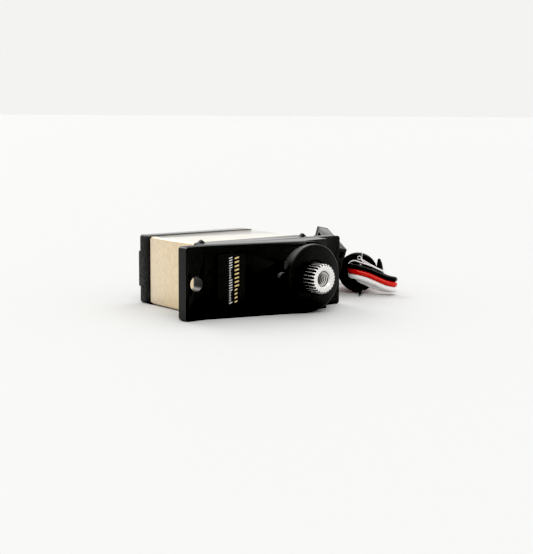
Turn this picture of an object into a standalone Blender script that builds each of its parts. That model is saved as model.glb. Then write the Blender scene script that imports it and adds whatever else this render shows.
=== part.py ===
"""Micro servo with metal output spline, lying on its long side with its lead bundled beside it.

The servo is modelled upright: x along the case, y across it, z up the output shaft, with z = 0 on
the mounting ears' upper face.  An empty then lays it on its side, so that in the world the shaft
points along -Y and the case rests on the floor at Z = 0.  The lead is modelled in the world frame.
"""
import math

import bmesh
import bpy
from mathutils import Matrix, Vector

MM = 0.001
TAU = 2 * math.pi

# Case, in millimetres.  "u" values run along the case from its motor end.
CASE_LENGTH = 22.4
CASE_WIDTH = 12.0
CASE_CORNER = 0.5
EAR_REACH = 5.05
EAR_THICKNESS = 2.1
EAR_HOLE_RADIUS = 1.2
EAR_HOLE_REACH = 3.0
SEAM_TOP = -5.2
SEAM_REAR = -18.45
SEAM_GAP = 0.05
REAR_FACE = -21.6
REAR_PAD = 0.55
REAR_PAD_WIDTH = 6.2
MID_WALL = 0.6
TOP_WALL = 0.8
END_WALL = 0.6
CORNER_POST = 2.4

# Top case: a ramp rises from the motor end's ear to the platform under the output boss.
RAMP_START = -1.2
RAMP_END = 16.4
PLATFORM = 4.2
SHOULDER = 2.5
BOSS_RADIUS = 5.6
BOSS_TOP = 5.15
IDLER_BOSS_RADIUS = 2.73
IDLER_BOSS_TOP = 3.4
IDLER_BUTTON_RADIUS = 1.2
MOULD_GATES = ((1.2, -4.7), (21.9, -3.6))
GATE_REACH = 0.9
GATE_HEIGHT = 0.45
GATE_THICKNESS = 0.6

# Gear axes and teeth.
OUTPUT_U = 17.3
AXIS_STEP = 5.5
IDLER_U = OUTPUT_U - AXIS_STEP
MOTOR_U = IDLER_U - AXIS_STEP
SMALL_TEETH = 12
LARGE_TEETH = 36
FINAL_TEETH = 30
GEAR_MODULE = 2 * AXIS_STEP / (SMALL_TEETH + LARGE_TEETH)
FINAL_MODULE = 2 * AXIS_STEP / (SMALL_TEETH + FINAL_TEETH)
BACKLASH = 0.07
PIN_RADIUS = 0.5
PIN_BORE = 0.56

# Output spline.
SPLINE_TEETH = 25
SPLINE_RADIUS = 2.5
SPLINE_ROOT = 2.16
SPLINE_TOP = 7.8
SCREW_HOLE_RADIUS = 1.2
SCREW_HOLE_MOUTH = 1.5

# Bearing.
JOURNAL_RADIUS = 2.0
BEARING_RADIUS = 4.2
BEARING_BOTTOM = 1.6
BEARING_TOP = 4.1

# Motor.
MOTOR_RADIUS = 4.9
MOTOR_TOP = -6.0
MOTOR_BOTTOM = -17.4
MOTOR_SHAFT_RADIUS = 0.4

# Case screws.
SCREW_INSET = 1.35
SCREW_RADIUS = 0.38
SCREW_HOLE = 0.44
SCREW_HEAD_RADIUS = 0.75

# Lead: three wires side by side, wound into a coil that stands on its edge.
LEAD_THICKNESS = 0.96
STRAIN_RELIEF_V = 19.5
RELIEF_FLANGE = (2.5, 1.05)
RELIEF_NECK = (2.0, 0.75)
RELIEF_SHOULDER = (2.3, 1.35)
RELIEF_TIP = (1.75, 0.8)
COIL_FACE = Vector((38.4, 7.2, 3.8))
COIL_ANGLE = math.radians(42)
COIL_WIDTH = 8.9
COIL_DROP = 0.63
COIL_RADII = (1.72, 3.7)
COIL_REAR_RADII = (1.15, 3.13)
TIE_RADIUS = 0.15
PLUG_SIZE = (2.1, 14.0, 7.6)
PLUG_NEAR = Vector((30.89, 4.79, 5.5))
PLUG_TURN = math.radians(-26.2)
PLUG_RISE = math.radians(10.6)
PLUG_LEAN = math.radians(12)

# The world's origin lies under the middle of the servo.
ORIGIN_U = CASE_LENGTH / 2
ORIGIN_V = (-REAR_FACE + REAR_PAD - SPLINE_TOP) / 2


def clear_scene():
    for old in list(bpy.data.objects):
        bpy.data.objects.remove(old, do_unlink=True)


def make_collection(name):
    made = bpy.data.collections.new(name)
    bpy.context.scene.collection.children.link(made)
    return made


clear_scene()
PARTS = make_collection("micro_servo")
CUTTERS = make_collection("cutters")
CUTTERS.hide_render = True

LYING = bpy.data.objects.new("servo_lying", None)
LYING.rotation_euler = (math.radians(90), 0, 0)
LYING.location = (0, -ORIGIN_V * MM, CASE_WIDTH / 2 * MM)
PARTS.objects.link(LYING)


# ---------------------------------------------------------------- materials


def material(name, colour, roughness, metallic=0.0):
    made = bpy.data.materials.new(name)
    made.use_nodes = True
    shader = made.node_tree.nodes["Principled BSDF"]
    shader.inputs["Base Color"].default_value = (*colour, 1)
    shader.inputs["Roughness"].default_value = roughness
    shader.inputs["Metallic"].default_value = metallic
    return made


BLACK_PLASTIC = material("black_plastic", (0.018, 0.018, 0.020), 0.55)
CAP_PLASTIC = material("textured_black_plastic", (0.024, 0.024, 0.026), 0.7)
CHAMPAGNE = material("champagne_aluminium", (0.86, 0.74, 0.56), 0.35, 1.0)
STEEL = material("bright_steel", (0.72, 0.71, 0.69), 0.28, 1.0)
SCREW_STEEL = material("black_oxide_steel", (0.08, 0.08, 0.085), 0.4, 1.0)
BRASS = material("gear_brass", (0.78, 0.60, 0.28), 0.35, 1.0)
CAN_STEEL = material("motor_can_steel", (0.62, 0.62, 0.63), 0.3, 1.0)
NYLON = material("white_nylon", (0.82, 0.80, 0.74), 0.5)
BOARD_GREEN = material("circuit_board_green", (0.02, 0.17, 0.07), 0.5)
CHIP_BLACK = material("chip_black", (0.02, 0.02, 0.022), 0.45)
COPPER = material("winding_copper", (0.72, 0.36, 0.20), 0.4, 1.0)
LABEL_BLACK = material("label_gloss_black", (0.008, 0.008, 0.009), 0.18)
RUBBER = material("lead_rubber", (0.02, 0.02, 0.02), 0.6)
LEAD_RED = material("lead_red", (0.62, 0.02, 0.015), 0.45)
TIE_PLASTIC = material("clear_tie", (0.75, 0.73, 0.72), 0.3)
GOLD = material("contact_gold", (0.85, 0.62, 0.25), 0.3, 1.0)


# ---------------------------------------------------------------- building blocks


def link(name, mesh, finish=None, collection=None):
    made = bpy.data.objects.new(name, mesh)
    (collection or PARTS).objects.link(made)
    if finish:
        mesh.materials.append(finish)
    if collection is CUTTERS:
        made.hide_render = True
        made.display_type = "WIRE"
    return made


def from_bmesh(name, shape, finish=None, collection=None):
    bmesh.ops.recalc_face_normals(shape, faces=shape.faces)
    mesh = bpy.data.meshes.new(name)
    shape.to_mesh(mesh)
    shape.free()
    return link(name, mesh, finish, collection)


def extrude_outline(shape, points, direction):
    """Adds the solid swept by a closed outline of 3-D points along a direction."""
    face = shape.faces.new([shape.verts.new(Vector(p) * MM) for p in points])
    swept = bmesh.ops.extrude_face_region(shape, geom=[face])
    moved = [g for g in swept["geom"] if isinstance(g, bmesh.types.BMVert)]
    bmesh.ops.translate(shape, verts=moved, vec=Vector(direction) * MM)


def plate(name, outline, bottom, top, finish=None, collection=None):
    """A flat outline in x and y, from height bottom to height top."""
    shape = bmesh.new()
    extrude_outline(shape, [(x, y, bottom) for x, y in outline], (0, 0, top - bottom))
    return from_bmesh(name, shape, finish, collection)


def side_profile(name, outline, width, finish=None, collection=None):
    """A side view in x and z, extruded across the case's width."""
    shape = bmesh.new()
    extrude_outline(shape, [(x, -width / 2, z) for x, z in outline], (0, width, 0))
    return from_bmesh(name, shape, finish, collection)


def block(name, low, high, finish=None, collection=None):
    low, high = Vector(low) * MM, Vector(high) * MM
    shape = bmesh.new()
    place = Matrix.Translation((low + high) / 2) @ Matrix.Diagonal((*(high - low), 1))
    bmesh.ops.create_cube(shape, size=1, matrix=place)
    return from_bmesh(name, shape, finish, collection)


def cylinder(name, radius, bottom, top, sides=48, finish=None, collection=None, centre=(0, 0)):
    shape = bmesh.new()
    middle = Matrix.Translation(Vector((centre[0], centre[1], (bottom + top) / 2)) * MM)
    bmesh.ops.create_cone(
        shape, cap_ends=True, segments=sides, radius1=radius * MM, radius2=radius * MM,
        depth=(top - bottom) * MM, matrix=middle)
    return from_bmesh(name, shape, finish, collection)


def turned(name, profile, sides=48, finish=None, collection=None):
    """A solid turned about z from a profile of (radius, height), outer side first, top to bottom."""
    shape = bmesh.new()
    verts = [shape.verts.new((r * MM, 0, z * MM)) for r, z in profile]
    for first, second in zip(verts, verts[1:]):
        shape.edges.new((first, second))
    closed = profile[0][0] > 0 or profile[-1][0] > 0
    if closed:
        shape.edges.new((verts[-1], verts[0]))
    mesh = bpy.data.meshes.new(name)
    shape.to_mesh(mesh)
    shape.free()
    made = link(name, mesh, finish, collection)
    screw = made.modifiers.new("turn", "SCREW")
    screw.axis = "Z"
    screw.steps = screw.render_steps = sides
    screw.use_merge_vertices = True
    screw.merge_threshold = 0.000001
    return made


def loft(name, rings, finish=None, collection=None):
    """A solid through rings of points, closed at both ends."""
    shape = bmesh.new()
    rings = [[shape.verts.new(Vector(point) * MM) for point in ring] for ring in rings]
    for first, second in zip(rings, rings[1:]):
        for i in range(len(first)):
            j = (i + 1) % len(first)
            shape.faces.new((first[i], first[j], second[j], second[i]))
    shape.faces.new(rings[0][::-1])
    shape.faces.new(rings[-1])
    return from_bmesh(name, shape, finish, collection)


def boolean(target, other, operation="DIFFERENCE"):
    made = target.modifiers.new(operation.lower(), "BOOLEAN")
    made.operation = operation
    made.object = other
    made.solver = "EXACT"
    return made


def smooth(obj, degrees=35):
    obj.data.shade_smooth()
    obj.data.set_sharp_from_angle(angle=math.radians(degrees))


def lay(obj, u=ORIGIN_U):
    """Stands an upright piece at u along the case's middle line, in the frame that is laid down."""
    obj.parent = LYING
    obj.location.x += (u - ORIGIN_U) * MM
    return obj


def rounded_rectangle(x0, x1, y0, y1, radius, steps=4):
    points = []
    corners = ((x1, y1, 0), (x0, y1, 90), (x0, y0, 180), (x1, y0, 270))
    for x, y, start in corners:
        cx = x - math.copysign(radius, x - (x0 + x1) / 2)
        cy = y - math.copysign(radius, y - (y0 + y1) / 2)
        for step in range(steps + 1):
            angle = math.radians(start + 90 * step / steps)
            points.append((cx + radius * math.cos(angle), cy + radius * math.sin(angle)))
    return points


def involute(radius, base):
    pressure = math.acos(base / radius)
    return math.tan(pressure) - pressure


def ring_of_teeth(teeth, module, phase=0.0, thin=BACKLASH):
    """A spur gear's outline, with involute flanks read at the root, the pitch circle and the tip."""
    pitch = module * teeth / 2
    base = pitch * math.cos(math.radians(20))
    half = math.pi / (2 * teeth) - thin / (4 * pitch)
    radii = (pitch - 1.2 * module, pitch, pitch + 0.9 * module)
    points = []
    for tooth in range(teeth):
        centre = phase + TAU * tooth / teeth
        flank = [(r, half + involute(pitch, base) - involute(max(r, base), base)) for r in radii]
        for r, away in flank:
            points.append((r * math.cos(centre - away), r * math.sin(centre - away)))
        for r, away in reversed(flank):
            points.append((r * math.cos(centre + away), r * math.sin(centre + away)))
    return points


def ramp_height(u):
    return PLATFORM * (u - RAMP_START) / (RAMP_END - RAMP_START)


def ramp_place(height):
    return RAMP_START + (RAMP_END - RAMP_START) * height / PLATFORM


def at(u):
    return u - ORIGIN_U


# ---------------------------------------------------------------- case


def cut(target, cutter, u=ORIGIN_U):
    boolean(target, lay(cutter, u))


def join(target, other, u=ORIGIN_U):
    boolean(target, lay(other, u), "UNION")


def plus_outline(side, end, post=CORNER_POST):
    """The inside of the case: its walls' inner faces, less a square post in each corner."""
    x, y = CASE_LENGTH / 2 - end, CASE_WIDTH / 2 - side
    post_x, post_y = CASE_LENGTH / 2 - post, CASE_WIDTH / 2 - post
    return [(post_x, y), (-post_x, y), (-post_x, post_y), (-x, post_y), (-x, -post_y), (-post_x, -post_y),
            (-post_x, -y), (post_x, -y), (post_x, -post_y), (x, -post_y), (x, post_y), (post_x, post_y)]


def screw_places():
    for u in (SCREW_INSET, CASE_LENGTH - SCREW_INSET):
        for y in (SCREW_INSET - CASE_WIDTH / 2, CASE_WIDTH / 2 - SCREW_INSET):
            yield at(u), y


def case_outline():
    half = CASE_WIDTH / 2
    return rounded_rectangle(at(0), at(CASE_LENGTH), -half, half, CASE_CORNER)


def make_top_case():
    half = CASE_WIDTH / 2
    case = plate("top_case", case_outline(), SEAM_TOP, -EAR_THICKNESS / 2, BLACK_PLASTIC)
    lay(case)
    join(case, plate("ears", rounded_rectangle(
        at(-EAR_REACH), at(CASE_LENGTH + EAR_REACH), -half, half, CASE_CORNER),
        -EAR_THICKNESS, 0, None, CUTTERS))
    ramp = [(RAMP_START, -EAR_THICKNESS / 2), (CASE_LENGTH, -EAR_THICKNESS / 2), (CASE_LENGTH, SHOULDER),
            (OUTPUT_U, SHOULDER), (OUTPUT_U, PLATFORM), (RAMP_END, PLATFORM), (RAMP_START, 0)]
    join(case, side_profile("ramp", [(at(u), z) for u, z in ramp], CASE_WIDTH, None, CUTTERS))
    arc = [(half * math.cos(a), half * math.sin(a))
           for a in (math.radians(-90 + 180 * step / 24) for step in range(25))]
    platform_end = [(at(OUTPUT_U) + x, y) for x, y in arc]
    platform_end += [(at(OUTPUT_U - 1), half), (at(OUTPUT_U - 1), -half)]
    join(case, plate("platform_end", platform_end, -EAR_THICKNESS / 2, PLATFORM, None, CUTTERS))
    join(case, turned("output_boss", [
        (0, BOSS_TOP), (BOSS_RADIUS - 0.15, BOSS_TOP), (BOSS_RADIUS, BOSS_TOP - 0.15), (BOSS_RADIUS, -1),
        (0, -1)], 64, None, CUTTERS), OUTPUT_U)
    join(case, turned("idler_boss", [
        (0, PLATFORM), (IDLER_BUTTON_RADIUS, PLATFORM), (IDLER_BUTTON_RADIUS, IDLER_BOSS_TOP),
        (IDLER_BOSS_RADIUS, IDLER_BOSS_TOP), (IDLER_BOSS_RADIUS, 1.6), (0, 1.6)],
        40, None, CUTTERS), IDLER_U)
    for number, (u, z) in enumerate(MOULD_GATES):
        gate = [(at(u - GATE_REACH), half - 0.2), (at(u + GATE_REACH), half - 0.2),
                (at(u), half + GATE_HEIGHT)]
        join(case, plate(f"mould_gate_{number}", gate, z - GATE_THICKNESS / 2, z + GATE_THICKNESS / 2,
                         None, CUTTERS))

    roof = [(0, SEAM_TOP - 1), (CASE_LENGTH, SEAM_TOP - 1), (CASE_LENGTH, SHOULDER - 1),
            (ramp_place(SHOULDER), SHOULDER - 1), (0, ramp_height(0) - 1)]
    hollow = side_profile("gear_room", [(at(u), z) for u, z in roof], CASE_WIDTH + 2, None, CUTTERS)
    walls = plate("gear_room_walls", plus_outline(TOP_WALL, END_WALL), SEAM_TOP - 2, PLATFORM, None,
                  CUTTERS)
    boolean(hollow, lay(walls), "INTERSECT")
    cut(case, hollow)
    pocket_radius, pocket_top = BEARING_RADIUS + 0.05, BEARING_TOP + 0.05
    cut(case, cylinder("bearing_pocket", pocket_radius, 0, pocket_top, 48, None, CUTTERS), OUTPUT_U)
    cut(case, cylinder("shaft_mouth", 2.9, 3, BOSS_TOP + 1, 48, None, CUTTERS), OUTPUT_U)
    cut(case, cylinder("idler_socket", PIN_BORE, 1, 2.6, 24, None, CUTTERS), IDLER_U)
    for number, u in enumerate((-EAR_HOLE_REACH, CASE_LENGTH + EAR_HOLE_REACH)):
        cut(case, cylinder(f"ear_hole_{number}", EAR_HOLE_RADIUS, -4, 3, 32, None, CUTTERS), u)
    for number, place_xy in enumerate(screw_places()):
        cut(case, cylinder(f"top_screw_hole_{number}", SCREW_HOLE, SEAM_TOP - 1, -2.2, 16, None, CUTTERS,
                           place_xy))
    return case


def make_mid_case():
    body = lay(plate("mid_case", case_outline(), SEAM_REAR, SEAM_TOP - SEAM_GAP, CHAMPAGNE))
    half = CASE_WIDTH / 2 - MID_WALL
    inside = rounded_rectangle(at(MID_WALL), at(CASE_LENGTH - MID_WALL), -half, half, 0.3)
    cut(body, plate("mid_case_bore", inside, SEAM_REAR - 1, SEAM_TOP + 1, None, CUTTERS))
    return body


def make_base_cap():
    cap = lay(plate("base_cap", case_outline(), REAR_FACE, SEAM_REAR - SEAM_GAP, CAP_PLASTIC))
    join(cap, block("rear_pad", (at(0.05), -REAR_PAD_WIDTH / 2, REAR_FACE - REAR_PAD),
                    (at(CASE_LENGTH - 0.05), REAR_PAD_WIDTH / 2, REAR_FACE + 0.5), None, CUTTERS))
    cut(cap, plate("board_room", plus_outline(TOP_WALL, END_WALL), REAR_FACE + 1.0, SEAM_REAR + 1, None,
                   CUTTERS))
    across, up = RELIEF_NECK[0] + 0.05, RELIEF_NECK[1] + 0.05
    cut(cap, block("lead_exit", (at(CASE_LENGTH - 1), -across, -STRAIN_RELIEF_V - up),
                   (at(CASE_LENGTH + 1), across, -STRAIN_RELIEF_V + up), None, CUTTERS))
    for number, place_xy in enumerate(screw_places()):
        cut(cap, cylinder(f"cap_screw_hole_{number}", SCREW_HOLE, REAR_FACE - 1, SEAM_REAR + 1, 16, None,
                          CUTTERS, place_xy))
        cut(cap, cylinder(f"cap_screw_sink_{number}", SCREW_HEAD_RADIUS + 0.08, REAR_FACE - 1,
                          REAR_FACE + 0.9, 24, None, CUTTERS, place_xy))
    return cap


def make_case_screw(number, x, y):
    head, bottom = SCREW_HEAD_RADIUS, REAR_FACE + 0.2
    screw = turned(f"case_screw_{number}",
                   [(0, -2.7), (SCREW_RADIUS * 0.6, -2.7), (SCREW_RADIUS, -3.1),
                    (SCREW_RADIUS, bottom + 0.65), (head, bottom + 0.65), (head, bottom + 0.15),
                    (head * 0.8, bottom), (0, bottom)], 16, SCREW_STEEL)
    slot = block(f"screw_slot_{number}_a", (-0.5, -0.1, bottom - 1), (0.5, 0.1, bottom + 0.3), None, CUTTERS)
    cross = block(f"screw_slot_{number}_b", (-0.1, -0.5, bottom - 1), (0.1, 0.5, bottom + 0.3), None, CUTTERS)
    for piece in (screw, slot, cross):
        piece.parent = LYING
        piece.location = (x * MM, y * MM, 0)
    boolean(screw, slot)
    boolean(screw, cross)
    smooth(screw)
    return screw


def make_label():
    middle, length, width, thickness = 3.15, 5.0, 9.3, 0.08
    label = plate("label", rounded_rectangle(-length / 2, length / 2, -width / 2, width / 2, 0.4),
                  0.03, 0.03 + thickness, LABEL_BLACK)
    label.parent = LYING
    label.location = (at(middle) * MM, 0, ramp_height(middle) * MM)
    label.rotation_euler.y = -math.atan2(PLATFORM, RAMP_END - RAMP_START)
    return label


# ---------------------------------------------------------------- gear train

STAGES = {
    "gear_1": (IDLER_U, -4.4, -3.7, -2.85, True),
    "gear_2": (OUTPUT_U, -3.55, -2.85, -1.95, False),
    "gear_3": (IDLER_U, -2.65, -1.95, -0.2, True),
}


def toothed(name, teeth, module, bottom, top, faces_up_x, finish=None, collection=None):
    """Teeth that mesh along x: a tooth points at the partner on one side, a gap on the other."""
    phase = 0.0 if faces_up_x else math.pi + math.pi / teeth
    return plate(name, ring_of_teeth(teeth, module, phase), bottom, top, finish, collection)


def make_compound_gear(name):
    u, bottom, step, top, on_idler = STAGES[name]
    wheel = toothed(name, LARGE_TEETH, GEAR_MODULE, bottom, step, name == "gear_3", BRASS)
    if name == "gear_2":
        wheel.data.materials[0] = STEEL
    small_module = FINAL_MODULE if name == "gear_3" else GEAR_MODULE
    small = toothed(f"{name}_pinion", SMALL_TEETH, small_module, step - 0.3, top, on_idler, None, CUTTERS)
    bore = cylinder(f"{name}_bore", PIN_BORE, bottom - 1, top + 1, 24, None, CUTTERS)
    join(lay(wheel, u), small, u)
    cut(wheel, bore, u)
    return wheel


def make_motor_pinion():
    pinion = toothed("motor_pinion", SMALL_TEETH, GEAR_MODULE, -4.45, -3.6, True, BRASS)
    bore = cylinder("motor_pinion_bore", MOTOR_SHAFT_RADIUS + 0.03, -6, -2, 20, None, CUTTERS)
    cut(lay(pinion, MOTOR_U), bore, MOTOR_U)
    return pinion


def make_output_shaft():
    shaft = turned("output_shaft", [
        (0, 5.3), (JOURNAL_RADIUS, 5.3), (JOURNAL_RADIUS, BEARING_BOTTOM - 0.05),
        (2.55, BEARING_BOTTOM - 0.05), (2.55, -1.0), (PIN_RADIUS, -1.0), (PIN_RADIUS, -6.9), (0, -6.9)],
        40, STEEL)
    lay(shaft, OUTPUT_U)
    join(shaft, toothed("output_wheel", FINAL_TEETH, FINAL_MODULE, -1.7, -0.3, False, None, CUTTERS), OUTPUT_U)
    join(shaft, make_spline(), OUTPUT_U)
    hole = turned("output_screw_hole", [
        (0, SPLINE_TOP + 0.5), (SCREW_HOLE_MOUTH + 0.5, SPLINE_TOP + 0.5), (SCREW_HOLE_MOUTH, SPLINE_TOP),
        (SCREW_HOLE_RADIUS, SPLINE_TOP - 0.4), (SCREW_HOLE_RADIUS, 3.2), (0, 2.6)], 32, None, CUTTERS)
    cut(shaft, hole, OUTPUT_U)
    return shaft


def make_spline():
    """Trapezoid teeth between two circles, running out into a chamfer at the free end."""
    rings = []
    for height, depth in ((BOSS_TOP + 0.05, 1.0), (SPLINE_TOP - 0.28, 1.0), (SPLINE_TOP, 0.35)):
        ring_points = []
        for tooth in range(SPLINE_TEETH):
            for share, away in ((0.04, 0), (0.3, 1), (0.54, 1), (0.8, 0)):
                angle = TAU * (tooth + share) / SPLINE_TEETH
                radius = SPLINE_ROOT + (SPLINE_RADIUS - SPLINE_ROOT) * away * depth
                ring_points.append((radius * math.cos(angle), radius * math.sin(angle), height))
        rings.append(ring_points)
    return loft("output_spline", rings, None, CUTTERS)


def make_idler_pin():
    pin = turned("idler_pin", [(0, 2.4), (PIN_RADIUS, 2.4), (PIN_RADIUS, -5.1), (0, -5.1)], 20, STEEL)
    smooth(lay(pin, IDLER_U))
    return pin


def ring(name, outer, inner, bottom, top, sides, finish, u):
    made = turned(name, [(outer, top), (outer, bottom), (inner, bottom), (inner, top)], sides, finish)
    smooth(lay(made, u))
    return made


def make_bearing():
    low, high = BEARING_BOTTOM, BEARING_TOP
    ring("bearing_outer_race", BEARING_RADIUS, 3.55, low, high, 48, STEEL, OUTPUT_U)
    ring("bearing_ball_ring", 3.5, 2.75, low + 0.35, high - 0.35, 40, BRASS, OUTPUT_U)
    ring("bearing_inner_race", 2.7, JOURNAL_RADIUS + 0.03, low, high, 40, STEEL, OUTPUT_U)


def make_gear_floor():
    floor = plate("gear_floor", plus_outline(TOP_WALL + 0.1, END_WALL + 0.1, CORNER_POST + 0.05),
                  SEAM_TOP + 0.05, -4.65, NYLON)
    lay(floor)
    for name, radius, u in (("motor_hole", 1.6, MOTOR_U), ("idler_hole", PIN_RADIUS + 0.05, IDLER_U),
                            ("bush_hole", 1.05, OUTPUT_U)):
        cut(floor, cylinder(f"floor_{name}", radius, -7, -3, 24, None, CUTTERS), u)
    return floor


# ---------------------------------------------------------------- motor, sensor and board


def make_motor():
    can = turned("motor_can", [
        (1.0, MOTOR_TOP + 0.4), (1.4, MOTOR_TOP + 0.4), (1.4, MOTOR_TOP), (MOTOR_RADIUS - 0.3, MOTOR_TOP),
        (MOTOR_RADIUS, MOTOR_TOP - 0.3), (MOTOR_RADIUS, MOTOR_BOTTOM), (MOTOR_RADIUS - 0.4, MOTOR_BOTTOM),
        (MOTOR_RADIUS - 0.4, MOTOR_TOP - 0.5), (1.0, MOTOR_TOP - 0.5)], 40, CAN_STEEL)
    smooth(lay(can, MOTOR_U))
    ring("motor_magnet", MOTOR_RADIUS - 0.5, 3.5, MOTOR_BOTTOM + 2.2, MOTOR_TOP - 1.0, 32, CHIP_BLACK, MOTOR_U)
    rotor = turned("motor_rotor", [
        (0, -3.65), (MOTOR_SHAFT_RADIUS, -3.65), (MOTOR_SHAFT_RADIUS, MOTOR_TOP - 1.2),
        (3.2, MOTOR_TOP - 1.4), (3.2, MOTOR_BOTTOM + 2.6), (1.2, MOTOR_BOTTOM + 2.4),
        (1.2, MOTOR_BOTTOM + 0.9), (MOTOR_SHAFT_RADIUS, MOTOR_BOTTOM + 0.9),
        (MOTOR_SHAFT_RADIUS, MOTOR_BOTTOM - 0.4), (0, MOTOR_BOTTOM - 0.4)], 28, COPPER)
    smooth(lay(rotor, MOTOR_U))
    end = turned("motor_end_cap", [
        (MOTOR_RADIUS - 0.5, MOTOR_BOTTOM + 0.7), (MOTOR_RADIUS - 0.5, MOTOR_BOTTOM - 0.05),
        (MOTOR_RADIUS - 0.1, MOTOR_BOTTOM - 0.05), (MOTOR_RADIUS - 0.1, MOTOR_BOTTOM - 0.9),
        (MOTOR_SHAFT_RADIUS + 0.1, MOTOR_BOTTOM - 0.9), (MOTOR_SHAFT_RADIUS + 0.1, MOTOR_BOTTOM + 0.7)],
        36, NYLON)
    smooth(lay(end, MOTOR_U))
    for number, y in enumerate((-2.6, 2.6)):
        pin = block(f"motor_terminal_{number + 1}", (-0.6, y - 0.1, MOTOR_BOTTOM - 1.45),
                    (0.6, y + 0.1, MOTOR_BOTTOM - 0.95), GOLD)
        lay(pin, MOTOR_U)


def make_feedback_sensor():
    top, bottom, radius = -5.9, -8.3, 3.3
    body = turned("feedback_sensor_body", [
        (radius, top), (radius, bottom), (1.2, bottom), (1.2, bottom + 0.5), (radius - 0.6, bottom + 0.5),
        (radius - 0.6, top)], 36, CHIP_BLACK)
    smooth(lay(body, OUTPUT_U))
    ring("feedback_wiper", 2.3, PIN_RADIUS + 0.03, -7.3, -6.3, 24, NYLON, OUTPUT_U)
    ring("output_bush", 1.0, PIN_BORE, SEAM_TOP + 0.05, -4.65, 24, BRASS, OUTPUT_U)


def make_board():
    low, high = -19.7, -19.0
    outline = plus_outline(TOP_WALL + 0.15, END_WALL + 1.4, CORNER_POST + 0.1)
    lay(plate("circuit_board", outline, low, high, BOARD_GREEN))
    lay(block("control_chip", (at(12.6), -2.0, high + 0.05), (at(16.4), 2.0, high + 0.85), CHIP_BLACK))
    lay(block("driver_chip", (at(17.2), -2.6, high + 0.05), (at(19.6), 0.4, high + 0.8), CHIP_BLACK))
    capacitor = cylinder("capacitor", 1.0, high + 0.05, high + 2.6, 24, COPPER, None, (at(18.4), 2.9))
    smooth(lay(capacitor))


# ---------------------------------------------------------------- lead


def place(point):
    """A point given by u, v (depth behind the ears' face) and height, as a world position."""
    u, v, height = point
    return Vector((u - ORIGIN_U, v - ORIGIN_V, height)) * MM


def smooth_route(points, step):
    """Points about one step apart on a Catmull-Rom curve through the route's own points."""
    points = [Vector(p) for p in points]
    ends = [points[0] * 2 - points[1]] + points + [points[-1] * 2 - points[-2]]
    fine = []
    for a, b, c, d in zip(ends, ends[1:], ends[2:], ends[3:]):
        for i in range(20):
            t = i / 20
            fine.append(0.5 * (2 * b + (c - a) * t + (2 * a - 5 * b + 4 * c - d) * t ** 2
                               + (3 * b - a - 3 * c + d) * t ** 3))
    fine.append(points[-1])
    total = sum((q - p).length for p, q in zip(fine, fine[1:]))
    count = max(2, round(total / step))
    made, gone, i = [fine[0]], 0.0, 0
    for k in range(1, count):
        while gone + (fine[i + 1] - fine[i]).length < total * k / count:
            gone += (fine[i + 1] - fine[i]).length
            i += 1
        rest = total * k / count - gone
        made.append(fine[i].lerp(fine[i + 1], rest / (fine[i + 1] - fine[i]).length))
    return made + [fine[-1]]


def tube(name, points, radius, finish, closed=False):
    curve = bpy.data.curves.new(name, "CURVE")
    curve.dimensions = "3D"
    curve.bevel_depth = radius * MM
    curve.bevel_resolution = 2
    curve.use_fill_caps = not closed
    spline = curve.splines.new("POLY")
    spline.points.add(len(points) - 1)
    spline.use_cyclic_u = closed
    for knot, point in zip(spline.points, points):
        knot.co = (*place(point), 1)
    curve.materials.append(finish)
    made = bpy.data.objects.new(name, curve)
    PARTS.objects.link(made)
    return made


def by_coil(right, back, height):
    """A point given from the middle of the coil's near face: to its right, behind it, and above the floor."""
    c, s = math.cos(COIL_ANGLE), math.sin(COIL_ANGLE)
    return Vector((COIL_FACE.x + c * right + s * back, COIL_FACE.y - s * right + c * back, height))


# From the strain relief down to the floor and round behind the coil.
LEAD_BEHIND = (
    (26.55, 19.5, 6.0), (28.4, 19.8, 5.8), (30.4, 20.3, 4.9), (32.4, 20.8, 3.5), (34.6, 21.3, 2.2),
    (37.2, 21.6, 1.55), (40.2, 21.5, 1.5), (43.2, 20.9, 1.65), (45.4, 19.6, 2.1), (46.3, 17.9, 2.75),
    (45.9, 16.2, 3.25))
# Forward through the coil's eye, out to the right, back across its face, and into the eye again.
LEAD_LOOP = (
    (0, 8.6, 3.45), (0, 7, 3.5), (0, 5, 3.55), (0, 3, 3.6), (0, 1.2, 3.6), (0.15, 0, 3.55),
    (0.75, -0.75, 3.35), (2, -0.95, 2.9), (3.5, -0.9, 2.25), (4.8, -0.65, 1.9), (5.8, -0.5, 1.75),
    (6.6, -0.85, 1.8), (6.85, -1.55, 1.95), (6.4, -2.2, 2.1), (5.2, -2.3, 2.4), (3.6, -2.1, 3.05),
    (1.8, -1.95, 3.75), (0.3, -1.95, 4.15), (-0.55, -1.75, 4.3), (-1.15, -1.1, 4.35))
# From the coil's rear turn up and round into the plug's far end.
LEAD_TO_PLUG = (
    (41.05, 15.35, 5.5), (41.1, 16.7, 7.0), (40.8, 18.4, 7.95), (39.8, 19.8, 8.4), (38.6, 19.9, 8.5),
    (37.65, 18.8, 8.34), (36.99, 17.18, 8.07))


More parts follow.
